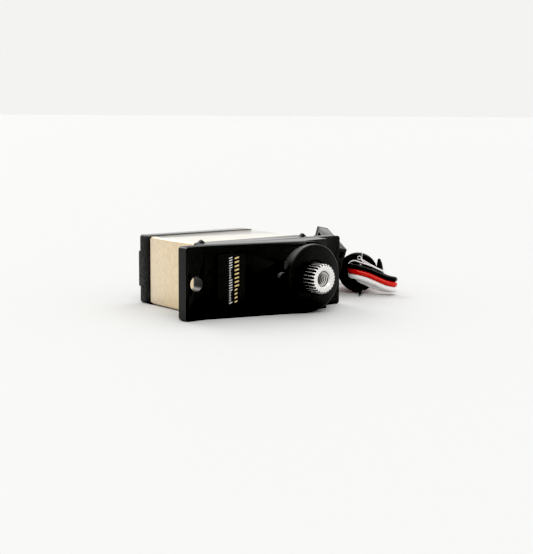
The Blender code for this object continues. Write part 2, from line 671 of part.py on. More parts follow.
def make_lead():
    radius = LEAD_THICKNESS / 2
    route = [Vector(p) for p in LEAD_BEHIND] + [by_coil(*p) for p in LEAD_LOOP]
    tube("lead_exit_run", smooth_route(route, LEAD_THICKNESS), radius, RUBBER)
    tube("lead_plug_run", smooth_route(LEAD_TO_PLUG, 1.5 * LEAD_THICKNESS), radius, RUBBER)
    (inner, outer), (rear_inner, rear_outer) = COIL_RADII, COIL_REAR_RADII
    coil = turned("lead_coil", [(outer, 0), (rear_outer, -COIL_WIDTH), (rear_inner, -COIL_WIDTH), (inner, 0)],
                  40, RUBBER)
    towards_front = COIL_FACE - by_coil(0, COIL_WIDTH, COIL_FACE.z - COIL_DROP)
    coil.rotation_euler = towards_front.to_track_quat("Z", "Y").to_euler()
    coil.location = place(COIL_FACE)
    smooth(coil)


def make_lead_tie():
    """A thin loop through the coil's eye, beside the lead, and over the coil's top."""
    right, front, back = 0.75, -0.35, COIL_WIDTH + 0.35
    corners = [by_coil(right, along, height)
               for along, height in ((front, 4.95), (front, 7.6), (back, 6.75), (back, 3.79))]
    points = []
    for i, corner in enumerate(corners):
        before = (corners[i - 1] - corner).normalized()
        after = (corners[(i + 1) % 4] - corner).normalized()
        points += [corner + before * 0.5, corner + (before + after) * 0.15, corner + after * 0.5]
    tube("lead_tie", points, TIE_RADIUS, TIE_PLASTIC, closed=True)


def make_plug():
    """The contacts' end is the near one, and the lead enters the far one."""
    width, length, height = PLUG_SIZE
    holder = bpy.data.objects.new("plug_place", None)
    holder.location = place(PLUG_NEAR)
    holder.rotation_mode = "YXZ"
    holder.rotation_euler = (PLUG_RISE, PLUG_LEAN, PLUG_TURN)
    PARTS.objects.link(holder)
    housing = block("plug_housing", (-width / 2, 0, -height / 2), (width / 2, length, height / 2), RUBBER)
    housing.parent = holder
    for number, z in enumerate((-2.54, 0, 2.54)):
        socket = block(f"plug_socket_{number + 1}", (-0.5, -1, z - 0.5), (0.5, 8, z + 0.5), None, CUTTERS)
        contact = block(f"plug_contact_{number + 1}", (-0.3, 0.6, z - 0.3), (0.3, 7.6, z + 0.3), GOLD)
        socket.parent = contact.parent = holder
        boolean(housing, socket)


def make_strain_relief():
    """A rubber sleeve gripped by the base cap's end wall, narrowing towards the lead."""
    inner, outer = CASE_LENGTH - END_WALL, CASE_LENGTH
    profile = ((inner - 0.9, RELIEF_FLANGE), (inner - 0.1, RELIEF_FLANGE), (inner - 0.1, RELIEF_NECK),
               (outer + 0.2, RELIEF_NECK), (outer + 0.2, RELIEF_SHOULDER), (outer + 0.8, RELIEF_SHOULDER),
               (outer + 4.1, RELIEF_TIP))
    rings = [[(at(u), y, z - STRAIN_RELIEF_V) for y, z in rounded_rectangle(-across, across, -up, up, 0.4, 3)]
             for u, (across, up) in profile]
    return lay(loft("strain_relief", rings, RUBBER))


def main():
    smooth(make_top_case())
    smooth(make_mid_case())
    smooth(make_base_cap())
    make_label()
    for number, (x, y) in enumerate(screw_places()):
        make_case_screw(number + 1, x, y)
    make_gear_floor()
    make_idler_pin()
    make_motor_pinion()
    for name in STAGES:
        make_compound_gear(name)
    make_output_shaft()
    make_bearing()
    ring("output_seal", 2.85, 2.06, BEARING_TOP + 0.15, BOSS_TOP - 0.1, 40, RUBBER, OUTPUT_U)
    make_motor()
    make_feedback_sensor()
    make_board()
    make_strain_relief()
    make_lead()
    make_lead_tie()
    make_plug()


main()
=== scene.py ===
"""Micro servo on a pale floor: camera, light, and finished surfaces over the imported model."""
import math

import bmesh
import bpy
from mathutils import Matrix, Vector


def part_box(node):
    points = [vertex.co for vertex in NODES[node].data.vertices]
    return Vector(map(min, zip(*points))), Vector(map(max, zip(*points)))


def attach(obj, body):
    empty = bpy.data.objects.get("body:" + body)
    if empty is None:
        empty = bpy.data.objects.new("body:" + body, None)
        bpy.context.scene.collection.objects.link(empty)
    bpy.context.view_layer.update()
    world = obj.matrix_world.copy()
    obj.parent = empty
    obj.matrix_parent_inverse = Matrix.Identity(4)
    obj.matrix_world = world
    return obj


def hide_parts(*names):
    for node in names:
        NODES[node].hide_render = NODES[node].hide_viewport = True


MM = 0.001
TAU = 2 * math.pi

# The case, as in the CAD source, in millimetres: along it, behind the ears' face, and above the floor.
MIDDLE_U, MIDDLE_V, MIDDLE_W = 11.2, 7.175, 6
OUTPUT_U = 17.3
RAMP_RISE, RAMP_RUN, RAMP_FOOT = 4.2, 17.6, -1.2
LABEL_U, LABEL_THICKNESS = 3.15, 0.11
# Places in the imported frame, in metres: the output's axis, and where the boss leaves the ramp.
OUTPUT_AXIS = (6.1 * MM, 0, 6 * MM)
BOSS_FOOT = -10.9 * MM

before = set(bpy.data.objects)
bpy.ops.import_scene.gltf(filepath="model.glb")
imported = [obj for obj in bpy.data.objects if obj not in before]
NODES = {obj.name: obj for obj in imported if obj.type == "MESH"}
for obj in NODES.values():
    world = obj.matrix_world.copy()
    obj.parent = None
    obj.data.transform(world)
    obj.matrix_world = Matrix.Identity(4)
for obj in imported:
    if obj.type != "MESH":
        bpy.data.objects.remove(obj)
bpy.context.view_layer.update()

# ---------------------------------------------------------------- camera

AZIMUTH, ELEVATION, ROLL = (math.radians(angle) for angle in (38.075, 7.78, 0.314))
CAMERA_PLACE = (-0.12354, -0.1649, 0.03337)
FOCAL_LENGTH, SENSOR_WIDTH = 78.56, 36
BACK = Vector((-math.sin(AZIMUTH) * math.cos(ELEVATION), -math.cos(AZIMUTH) * math.cos(ELEVATION),
               math.sin(ELEVATION)))
LEVEL_RIGHT = Vector((0, 0, 1)).cross(BACK).normalized()
LEVEL_UP = BACK.cross(LEVEL_RIGHT)
RIGHT = LEVEL_RIGHT * math.cos(ROLL) + LEVEL_UP * math.sin(ROLL)
UP = LEVEL_UP * math.cos(ROLL) - LEVEL_RIGHT * math.sin(ROLL)


def make_camera():
    """A long lens, a little above the floor, that looks at the object's output side."""
    data = bpy.data.cameras.new("camera")
    data.lens = FOCAL_LENGTH
    data.sensor_width = SENSOR_WIDTH
    data.clip_start = 0.01
    data.clip_end = 10
    camera = bpy.data.objects.new("camera", data)
    camera.matrix_world = (Matrix.Translation(CAMERA_PLACE)
                           @ Matrix((RIGHT, UP, BACK)).transposed().to_4x4())
    bpy.context.scene.collection.objects.link(camera)
    bpy.context.scene.camera = camera


# ---------------------------------------------------------------- materials

COAT_ROUGHNESS = 0.12
GRAIN_STRENGTH = 0.6
# What polished faces keep of the grain, and what faces that look up or down keep of their own colour under
# the painted sheen.
GRAIN_LEFT, COLOUR_LEFT = 0.1, 0.25


def nodes_of(name):
    """A new material, its node tree and its shader."""
    made = bpy.data.materials.new(name)
    made.use_nodes = True
    tree = made.node_tree
    return made, tree, tree.nodes["Principled BSDF"]


def noise(tree, scale, detail=3.0, stretch=None):
    """A soft random texture over the surface, the same in every direction unless it is stretched."""
    where = tree.nodes.new("ShaderNodeTexCoord").outputs["Object"]
    if stretch:
        mapping = tree.nodes.new("ShaderNodeMapping")
        mapping.inputs["Scale"].default_value = stretch
        tree.links.new(where, mapping.inputs["Vector"])
        where = mapping.outputs["Vector"]
    made = tree.nodes.new("ShaderNodeTexNoise")
    made.inputs["Scale"].default_value = scale
    made.inputs["Detail"].default_value = detail
    tree.links.new(where, made.inputs["Vector"])
    return made.outputs["Fac"]


def ramp(tree, value, low, high, start=0.3, end=0.7):
    """Maps a texture value to a span of colours or greys."""
    made = tree.nodes.new("ShaderNodeValToRGB")
    made.color_ramp.elements[0].position = start
    made.color_ramp.elements[1].position = end
    for element, colour in zip(made.color_ramp.elements, (low, high)):
        element.color = (*colour, 1) if isinstance(colour, tuple) else (colour, colour, colour, 1)
    tree.links.new(value, made.inputs["Fac"])
    return made.outputs["Color"]


def times(tree, value, other):
    """The product of two values."""
    made = tree.nodes.new("ShaderNodeMath")
    made.operation = "MULTIPLY"
    tree.links.new(value, made.inputs[0])
    tree.links.new(other, made.inputs[1])
    return made.outputs["Value"]


def between(tree, value, start, end, low, high):
    """Passes smoothly from low to high as the value goes from start to end."""
    made = tree.nodes.new("ShaderNodeMapRange")
    made.interpolation_type = "SMOOTHSTEP"
    for socket, number in zip(("From Min", "From Max", "To Min", "To Max"), (start, end, low, high)):
        made.inputs[socket].default_value = number
    tree.links.new(value, made.inputs["Value"])
    return made.outputs["Result"]


def level_side(tree, least, low=0.85, high=0.97):
    """1, falling to the least on faces that look up or down, from the steepness low to high."""
    normal = tree.nodes.new("ShaderNodeNewGeometry").outputs["Normal"]
    parts = tree.nodes.new("ShaderNodeSeparateXYZ")
    tree.links.new(normal, parts.inputs["Vector"])
    size = tree.nodes.new("ShaderNodeMath")
    size.operation = "ABSOLUTE"
    tree.links.new(parts.outputs["Z"], size.inputs[0])
    return between(tree, size.outputs["Value"], low, high, 1.0, least)


def blend(tree, shader, share, other):
    """Keeps a share of the base colour and takes the rest from another."""
    mix = tree.nodes.new("ShaderNodeMix")
    mix.data_type = "RGBA"
    tree.links.new(share, mix.inputs["Factor"])
    mix.inputs["A"].default_value = (*other, 1)
    tree.links.new(shader.inputs["Base Color"].links[0].from_socket, mix.inputs["B"])
    tree.links.new(mix.outputs["Result"], shader.inputs["Base Color"])


def surface(name, dark, light, rough, metallic=0.0, grain=6000, depth=0.00002, stretch=None, patch=350,
            specular=0.5, coat=0.0, smoothness=None, pale=None):
    """Two close colours in soft patches, a span of roughness, and a fine raised grain.

    smoothness scales the roughness of the faces that look up or down, which came polished out of the
    mould, and pale is the colour of the painted sheen that those faces lean to.
    """
    made, tree, shader = nodes_of(name)
    shader.inputs["Metallic"].default_value = metallic
    shader.inputs["Specular IOR Level"].default_value = specular
    shader.inputs["Coat Weight"].default_value = coat
    shader.inputs["Coat Roughness"].default_value = COAT_ROUGHNESS
    patches = noise(tree, patch, 4.0)
    fine = noise(tree, grain, 2.0, stretch)
    tree.links.new(ramp(tree, patches, dark, light), shader.inputs["Base Color"])
    roughness = ramp(tree, fine, rough[0], rough[1])
    bump = tree.nodes.new("ShaderNodeBump")
    bump.inputs["Strength"].default_value = GRAIN_STRENGTH
    if smoothness:
        roughness = times(tree, roughness, level_side(tree, smoothness))
        tree.links.new(level_side(tree, GRAIN_LEFT), bump.inputs["Strength"])
    # A painted sheen: faces that look up or down lean to the pale colour.
    if pale:
        blend(tree, shader, level_side(tree, COLOUR_LEFT), pale)
    tree.links.new(roughness, shader.inputs["Roughness"])
    bump.inputs["Distance"].default_value = depth
    tree.links.new(fine, bump.inputs["Height"])
    tree.links.new(bump.outputs["Normal"], shader.inputs["Normal"])
    return made


CASE_BLACK = surface("case_black", (0.0015, 0.0015, 0.0015), (0.003, 0.003, 0.003), (0.26, 0.38), grain=9000,
                     specular=0.36, smoothness=0.4)
RIM_PAINTED_HIGHLIGHT = surface("rim_painted_highlight", (0.0015, 0.0015, 0.0015), (0.003, 0.003, 0.003), (0.16, 0.26), grain=9000,
                    depth=0.000006, specular=0.7)
# Rounded edges and walls that look up or down carry a painted highlight in dark grey.
blend(RIM_PAINTED_HIGHLIGHT.node_tree, RIM_PAINTED_HIGHLIGHT.node_tree.nodes["Principled BSDF"],
      level_side(RIM_PAINTED_HIGHLIGHT.node_tree, 0.0, 0.4, 0.95), (0.12, 0.12, 0.117))
CAP_BLACK = surface("cap_black", (0.003, 0.003, 0.003), (0.014, 0.014, 0.013), (0.26, 0.60), grain=3000,
                    depth=0.00009, specular=0.26, smoothness=0.12)
# Its faces that look up or down lean to a pale painted sheen.
CHAMPAGNE = surface("champagne", (0.77, 0.62, 0.41), (0.86, 0.71, 0.49), (0.30, 0.44), 1.0, grain=2600,
                    depth=0.000006, stretch=(0.08, 1, 1), patch=1500, coat=1.0, smoothness=0.95,
                    pale=(0.97, 0.955, 0.90))
LABEL_FILM = surface("label_film", (0.002, 0.002, 0.002), (0.004, 0.004, 0.004), (0.16, 0.26), grain=1500,
                     depth=0.000003, specular=0.36)
GOLD_INK = surface("gold_ink", (0.60, 0.46, 0.20), (0.70, 0.56, 0.28), (0.32, 0.42), 0.6)
PALE_INK = surface("pale_ink", (0.72, 0.72, 0.70), (0.80, 0.80, 0.78), (0.35, 0.45))
BRIGHT_STEEL = surface("bright_steel", (0.76, 0.75, 0.73), (0.84, 0.83, 0.81), (0.16, 0.30), 1.0, grain=5000,
                       depth=0.000004)
GEAR_STEEL = surface("gear_steel", (0.55, 0.54, 0.52), (0.64, 0.63, 0.61), (0.25, 0.38), 1.0)
GEAR_BRASS = surface("gear_brass", (0.68, 0.50, 0.20), (0.78, 0.60, 0.28), (0.25, 0.38), 1.0)
SCREW_BLACK = surface("screw_black", (0.05, 0.05, 0.055), (0.08, 0.08, 0.085), (0.30, 0.45), 1.0)
CAN_STEEL = surface("can_steel", (0.55, 0.55, 0.56), (0.64, 0.64, 0.65), (0.22, 0.34), 1.0,
                    stretch=(1, 0.1, 1))
COPPER = surface("copper", (0.62, 0.28, 0.14), (0.74, 0.38, 0.22), (0.3, 0.42), 1.0, grain=3000,
                 stretch=(1, 0.1, 1))
FERRITE = surface("ferrite", (0.03, 0.03, 0.032), (0.05, 0.05, 0.052), (0.55, 0.7))
NYLON = surface("nylon", (0.74, 0.72, 0.66), (0.80, 0.78, 0.72), (0.42, 0.52))
BOARD_GREEN = surface("board_green", (0.012, 0.13, 0.05), (0.02, 0.18, 0.07), (0.3, 0.42))
CHIP_BLACK = surface("chip_black", (0.012, 0.012, 0.013), (0.02, 0.02, 0.022), (0.4, 0.5))
CAPACITOR = surface("capacitor_orange", (0.55, 0.20, 0.04), (0.62, 0.26, 0.06), (0.35, 0.45))
CONTACT_GOLD = surface("contact_gold", (0.80, 0.56, 0.20), (0.86, 0.64, 0.28), (0.22, 0.32), 1.0)
SLEEVE_RUBBER = surface("sleeve_rubber", (0.010, 0.010, 0.010), (0.016, 0.016, 0.016), (0.5, 0.65))
PLUG_BLACK = surface("plug_black", (0.003, 0.003, 0.003), (0.006, 0.006, 0.006), (0.14, 0.24), grain=7000,
                     depth=0.000008, specular=0.45, smoothness=0.6)
CONTACT_TIN = surface("contact_tin", (0.07, 0.06, 0.045), (0.11, 0.10, 0.07), (0.4, 0.5), 1.0)
WIRE_BLACK = surface("wire_black", (0.004, 0.004, 0.004), (0.008, 0.008, 0.008), (0.28, 0.40), grain=4000,
                     depth=0.000008, specular=0.32)
WIRE_RED = surface("wire_red", (0.60, 0.012, 0.008), (0.68, 0.022, 0.014), (0.30, 0.42), grain=4000,
                   depth=0.000008)
WIRE_WHITE = surface("wire_white", (0.80, 0.80, 0.79), (0.86, 0.86, 0.85), (0.30, 0.42), grain=4000,
                     depth=0.000008)
TIE_CLEAR = surface("tie_clear", (0.70, 0.66, 0.65), (0.80, 0.77, 0.76), (0.22, 0.32))

# Painted shade: for the spline's tooth roots and bore, and for the thread's roots and depths.
PAINTED_TOOTH_SHADE, PAINTED_THREAD_SHADE = (0.02, 0.02, 0.02), (0.015, 0.013, 0.012)
# Where the painted shade on the shaft's steel begins and ends: spans of distance from its axis, and of place
# along it.
TOOTH_ROOT, TOOTH_CREST = (2.1 * MM, 2.16 * MM), (2.3 * MM, 2.44 * MM)
BORE_WALL, BORE_MOUTH, END_FACE = (1.24 * MM, 1.34 * MM), (-14.6 * MM, -14.3 * MM), (-14.93 * MM, -14.85 * MM)
THREAD_CREST, THREAD_DEEP = (1.11 * MM, 1.19 * MM), (-14.0 * MM, -12.4 * MM)


def from_axis(tree):
    """The distance from the output's axis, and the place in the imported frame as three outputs."""
    where = tree.nodes.new("ShaderNodeTexCoord").outputs["Object"]
    shift = tree.nodes.new("ShaderNodeVectorMath")
    shift.operation = "SUBTRACT"
    shift.inputs[1].default_value = OUTPUT_AXIS
    tree.links.new(where, shift.inputs[0])
    across = tree.nodes.new("ShaderNodeVectorMath")
    across.operation = "MULTIPLY"
    across.inputs[1].default_value = (1, 0, 1)
    tree.links.new(shift.outputs["Vector"], across.inputs[0])
    radius = tree.nodes.new("ShaderNodeVectorMath")
    radius.operation = "LENGTH"
    tree.links.new(across.outputs["Vector"], radius.inputs[0])
    parts = tree.nodes.new("ShaderNodeSeparateXYZ")
    tree.links.new(where, parts.inputs["Vector"])
    return radius.outputs["Value"], parts.outputs


def spline_steel():
    """Bright steel, with painted shade at the bottom of the teeth and deep in the bore."""
    made = surface("spline_steel", (0.80, 0.79, 0.77), (0.86, 0.85, 0.83), (0.18, 0.30), 0.75, grain=5000,
                   depth=0.000004)
    tree = made.node_tree
    radius, place_on = from_axis(tree)
    flank = times(tree, between(tree, radius, *TOOTH_ROOT, 0, 1), between(tree, radius, *TOOTH_CREST, 1, 0))
    side = between(tree, place_on["Y"], *END_FACE, 0, 1)
    bore = times(tree, between(tree, radius, *BORE_WALL, 1, 0),
                 between(tree, place_on["Y"], *BORE_MOUTH, 0, 1))
    # Painted shade on the tooth flanks off the end face, and in the bore.
    unshaded = times(tree, between(tree, times(tree, flank, side), 0, 1, 1, 0),
                  between(tree, bore, 0, 1, 1, 0.1))
    blend(tree, tree.nodes["Principled BSDF"], unshaded, PAINTED_TOOTH_SHADE)
    return made


def thread_steel():
    """Steel whose crests are bright; its roots, and what lies deep in the bore, are darkened with painted
    shade.
    """
    made = surface("thread_steel", (0.66, 0.64, 0.61), (0.78, 0.76, 0.73), (0.18, 0.28), 0.8, grain=5000,
                   depth=0.000004)
    tree = made.node_tree
    radius, place_on = from_axis(tree)
    crest = between(tree, radius, *THREAD_CREST, 1, 0.06)
    near = between(tree, place_on["Y"], *THREAD_DEEP, 1, 0.3)
    # Painted shade in the thread's roots, darker further into the bore.
    blend(tree, tree.nodes["Principled BSDF"], times(tree, crest, near), PAINTED_THREAD_SHADE)
    return made


SPLINE_STEEL = spline_steel()
THREAD_STEEL = thread_steel()

# ---------------------------------------------------------------- building blocks


def add(name, shape, finishes, body="case", angle=35):
    """Makes a piece of a shape, in its finishes, and lets it ride on a body."""
    mesh = bpy.data.meshes.new(name)
    shape.to_mesh(mesh)
    shape.free()
    for finish in finishes:
        mesh.materials.append(finish)
    mesh.shade_smooth()
    mesh.set_sharp_from_angle(angle=math.radians(angle))
    made = bpy.data.objects.new(name, mesh)
    bpy.context.scene.collection.objects.link(made)
    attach(made, body)
    return made


def place(u, v, w):
    """Along the case from its motor end, behind the ears' face, and above the floor, in millimetres."""
    return Vector((u - MIDDLE_U, v - MIDDLE_V, w)) * MM


def sweep(shape, points, sides, radius, closed=False, finish=0):
    """A round tube through points, with frames carried along so that it doesn't twist."""
    count = len(points)
    normal = None
    rings = []
    for i, point in enumerate(points):
        ahead = points[(i + 1) % count] if closed or i + 1 < count else point
        behind = points[i - 1] if closed or i else point
        tangent = (ahead - behind).normalized()
        if normal is None:
            normal = tangent.orthogonal().normalized()
        normal = (normal - tangent * normal.dot(tangent)).normalized()
        across = tangent.cross(normal)
        size = radius[i] if isinstance(radius, list) else radius
        rings.append([shape.verts.new(point + (normal * math.cos(TAU * k / sides)
                                               + across * math.sin(TAU * k / sides)) * size)
                      for k in range(sides)])
    join_rings(shape, rings, closed, finish)


def join_rings(shape, rings, closed=False, finish=0):
    """Faces from each ring of points to the next, and caps at the ends of an open row of rings."""
    pairs = list(zip(rings, rings[1:])) + ([(rings[-1], rings[0])] if closed else [])
    sides = len(rings[0])
    for first, second in pairs:
        for k in range(sides):
            face = shape.faces.new((first[k], first[(k + 1) % sides], second[(k + 1) % sides], second[k]))
            face.material_index = finish
    if not closed:
        shape.faces.new(rings[0][::-1]).material_index = finish
        shape.faces.new(rings[-1]).material_index = finish


def catmull(points, pieces):
    """Points on a smooth curve through the given ones; works for positions and directions alike."""
    points = [points[0] * 2 - points[1]] + points + [points[-1] * 2 - points[-2]]
    made = []
    for a, b, c, d in zip(points, points[1:], points[2:], points[3:]):
        for i in range(pieces):
            t = i / pieces
            made.append(0.5 * (2 * b + (c - a) * t + (2 * a - 5 * b + 4 * c - d) * t ** 2
                               + (3 * b - a - 3 * c + d) * t ** 3))
    return made + [points[-2]]


# ---------------------------------------------------------------- lead

COIL_ANGLE = math.radians(42)
COIL_FACE = (38.4, 7.2, 3.8)
COIL_BACK = Vector((math.sin(COIL_ANGLE), math.cos(COIL_ANGLE), 0))
COIL_RIGHT = Vector((math.cos(COIL_ANGLE), -math.sin(COIL_ANGLE), 0))
UPWARD = Vector((0, 0, 1))
FORWARD = (UPWARD * 0.12 - COIL_BACK).normalized()
RAISED = (FORWARD * 0.86 + UPWARD * 0.5).normalized()
TURNING = (FORWARD * 0.2 + UPWARD).normalized()
WIRE_RADIUS, WIRE_PITCH, WIRE_SIDES = 0.475, 0.95, 10
LEAD_STEP = 0.42
COIL_RADIUS, COIL_NEAR, COIL_LENGTH = 2.19, 1.48, 5.9
COIL_TAPER, COIL_DROP = 0.45, 0.5


def by_coil(right, back, height):
    """From the middle of the coil's near face: to its right, behind it, and above the floor."""
    return place(COIL_FACE[0], COIL_FACE[1], height) + (COIL_RIGHT * right + COIL_BACK * back) * MM


# The lead's routes, as in the CAD source.  Each point also says where the black wire lies.
LEAD_BEHIND = (
    (26.55, 19.5, 6.0), (28.4, 19.8, 5.8), (30.4, 20.3, 4.9), (32.4, 20.8, 3.5), (34.6, 21.3, 2.2),
    (37.2, 21.6, 1.55), (40.2, 21.5, 1.5), (43.2, 20.9, 1.65), (45.4, 19.6, 2.1), (46.3, 17.9, 2.75),
    (45.9, 16.2, 3.25))
LEAD_LOOP = (
    (0, 8.6, 3.45), (0, 7, 3.5), (0, 5, 3.55), (0, 3, 3.6), (0, 1.2, 3.6), (0.15, 0, 3.55),
    (0.75, -0.75, 3.35), (2, -0.95, 2.9), (3.5, -0.9, 2.25), (4.8, -0.65, 1.9), (5.8, -0.5, 1.75),
    (6.6, -0.85, 1.8), (6.85, -1.55, 1.95), (6.4, -2.2, 2.1), (5.2, -2.3, 2.4), (3.6, -2.1, 3.05),
    (1.8, -1.95, 3.75), (0.3, -1.95, 4.15), (-0.55, -1.75, 4.3), (-1.15, -1.1, 4.35))
INTO_EYE = ((-1.4, -0.2, 4.45, TURNING), (-1.5, 0.7, 4.75, RAISED))
OUT_OF_COIL = ((41.05, 15.35, 5.5, RAISED), (41.1, 16.7, 7.0, TURNING))
LEAD_TO_PLUG = ((40.8, 18.4, 7.95), (39.8, 19.8, 8.4), (38.6, 19.9, 8.5), (37.65, 18.8, 8.34),
                (36.99, 17.18, 8.07))
PLUG_UP = Vector((0.107, -0.253, 0.961))
# Where the winding steps outward or inward, or back to the next layer: start and end turn, and change.
COIL_STEPS = ((0.55, 0.65, 1.01, 0), (1.45, 1.55, 0, 2.95), (2.35, 2.45, -1.01, 0), (3.25, 3.35, 0, 2.95),
              (4.15, 4.25, 1.01, 0))
COIL_START, COIL_END, STEPS_PER_TURN = 3, 120, 24


def coil_points():
    """Three layers of two turns each, wound clockwise and backward from the eye, a little conical."""
    for i in range(COIL_START, COIL_END + 1):
        turn = i / STEPS_PER_TURN
        radius, back = COIL_RADIUS, COIL_NEAR
        for start, end, outward, backward in COIL_STEPS:
            share = min(1.0, max(0.0, (turn - start) / (end - start)))
            share = share * share * (3 - 2 * share)
            radius += outward * share
            back += backward * share
        depth = (back - COIL_NEAR) / COIL_LENGTH
        radius -= COIL_TAPER * depth
        angle = math.pi - TAU * turn
        yield by_coil(radius * math.cos(angle), back,
                      COIL_FACE[2] - COIL_DROP * depth + radius * math.sin(angle))


def lead_route():
    """(points, directions of the black wire), evenly spaced along the whole lead."""
    knots = [(place(*p), UPWARD) for p in LEAD_BEHIND] + [(by_coil(*p), UPWARD) for p in LEAD_LOOP]
    knots += [(by_coil(*p[:3]), p[3]) for p in INTO_EYE]
    knots += [(p, FORWARD) for p in coil_points()]
    knots += [(place(*p[:3]), p[3]) for p in OUT_OF_COIL] + [(place(*p), PLUG_UP) for p in LEAD_TO_PLUG]
    points, sides = catmull([k[0] for k in knots], 8), catmull([k[1] for k in knots], 8)
    total = sum((b - a).length for a, b in zip(points, points[1:]))
    count = round(total / (LEAD_STEP * MM))
    even, turned, gone, i = [], [], 0.0, 0
    for k in range(count + 1):
        wanted = total * k / count
        while i < len(points) - 2 and gone + (points[i + 1] - points[i]).length < wanted:
            gone += (points[i + 1] - points[i]).length
            i += 1
        share = min(1.0, (wanted - gone) / (points[i + 1] - points[i]).length)
        even.append(points[i].lerp(points[i + 1], share))
        turned.append(sides[i].lerp(sides[i + 1], share))
    return even, turned, total


def make_lead():
    """Three wires side by side along the lead's route, each closed at its ends."""
    points, sides, total = lead_route()
    shape = bmesh.new()
    for wire, offset in enumerate((WIRE_PITCH, 0.0, -WIRE_PITCH)):
        rings = []
        for i, point in enumerate(points):
            tangent = (points[min(i + 1, len(points) - 1)] - points[max(i - 1, 0)]).normalized()
            across = (sides[i] - tangent * sides[i].dot(tangent)).normalized()
            normal = tangent.cross(across)
            middle = point + across * offset * MM
            rings.append([shape.verts.new(middle + (across * math.cos(TAU * k / WIRE_SIDES)
                                                    + normal * math.sin(TAU * k / WIRE_SIDES))
                                          * WIRE_RADIUS * MM)
                          for k in range(WIRE_SIDES)])
        join_rings(shape, rings, finish=wire)
    bmesh.ops.recalc_face_normals(shape, faces=shape.faces)
    lead = add("lead_ribbon", shape, (WIRE_BLACK, WIRE_RED, WIRE_WHITE), angle=60)
    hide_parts("lead_exit_run", "lead_plug_run", "lead_coil")
    return lead, points, total


# The tie: corners of its loop, its two ends and its loose tail, from the middle of the coil's near face.
TIE_CORNERS = ((0.75, -0.35, 4.95), (0.75, -0.35, 7.6), (0.75, 9.25, 6.75), (0.75, 9.25, 3.79))
TIE_INTO_EYE = ((4.7, -1.75, 4.45), (3.6, -1.7, 4.95), (2.2, -1.45, 5.65), (1.0, -1.1, 6.3))
TIE_OUT_OF_EYE = ((1.1, -1.75, 6.05), (2.4, -2.0, 5.4), (3.8, -2.2, 4.8), (4.9, -2.3, 4.3))
TIE_TAIL = ((-1.75, -1.5, 5.75), (-1.2, -1.75, 6.2), (-0.5, -1.9, 6.3), (0.3, -2.0, 6.05),
            (1.4, -2.15, 5.75), (2.6, -2.2, 5.35))
EYE_RIGHT, EYE_BACK, EYE_HEIGHT, EYE_RADIUS = 0.25, -0.95, 6.75, 0.34
TIE_SIDES = 8
# Two dark tails at the coil, each as its points and its radius at each point.
DARK_TAILS = (
    (((4.2, -0.1, 3.6), (4.1, 0.0, 4.7), (4.0, 0.1, 5.6), (3.9, 0.2, 6.5)), (0.6, 0.58, 0.5, 0.22)),
    (((0.9, 0.0, 1.2), (0.7, -1.4, 0.75), (0.5, -2.9, 0.45), (0.3, -4.4, 0.14)), (0.4, 0.36, 0.26, 0.08)))


def make_tie():
    """A clear tie round the coil, with its ends twisted into an eye and laid along the lead."""
    shape = bmesh.new()
    loop = []
    for i, corner in enumerate(TIE_CORNERS):
        here = by_coil(*corner)
        before = (by_coil(*TIE_CORNERS[i - 1]) - here).normalized() * MM
        after = (by_coil(*TIE_CORNERS[(i + 1) % len(TIE_CORNERS)]) - here).normalized() * MM
        loop += [here + before * 0.6, here + (before + after) * 0.18, here + after * 0.6]
    sweep(shape, loop, TIE_SIDES, 0.055 * MM, closed=True)
    eye = [by_coil(EYE_RIGHT + EYE_RADIUS * math.cos(angle), EYE_BACK - 0.05 * i,
                   EYE_HEIGHT + EYE_RADIUS * math.sin(angle))
           for i, angle in enumerate(math.radians(-60 - 24 * step) for step in range(15))]
    ends = [[by_coil(*p) for p in end] for end in (TIE_INTO_EYE, TIE_OUT_OF_EYE)]
    sweep(shape, catmull(ends[0] + eye + ends[1], 3), TIE_SIDES, 0.1 * MM)
    sweep(shape, catmull([by_coil(*p) for p in TIE_TAIL], 4), TIE_SIDES, 0.13 * MM)
    for tail, radii in DARK_TAILS:
        sweep(shape, [by_coil(*p) for p in tail], TIE_SIDES, [radius * MM for radius in radii], finish=1)
    bmesh.ops.recalc_face_normals(shape, faces=shape.faces)
    tie = add("lead_tie_wire", shape, (TIE_CLEAR, WIRE_BLACK), angle=60)
    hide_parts("lead_tie")
    return tie


# ---------------------------------------------------------------- case

SAME_POINT, FLAT = 2e-7, math.radians(0.5)


def cleaned(shape):
    """Joins double points and flat faces, and gives the edges at which two faces meet."""
    bmesh.ops.remove_doubles(shape, verts=shape.verts, dist=SAME_POINT)
    bmesh.ops.dissolve_limit(shape, angle_limit=FLAT, verts=shape.verts, edges=shape.edges)
    return [edge for edge in shape.edges if len(edge.link_faces) == 2]


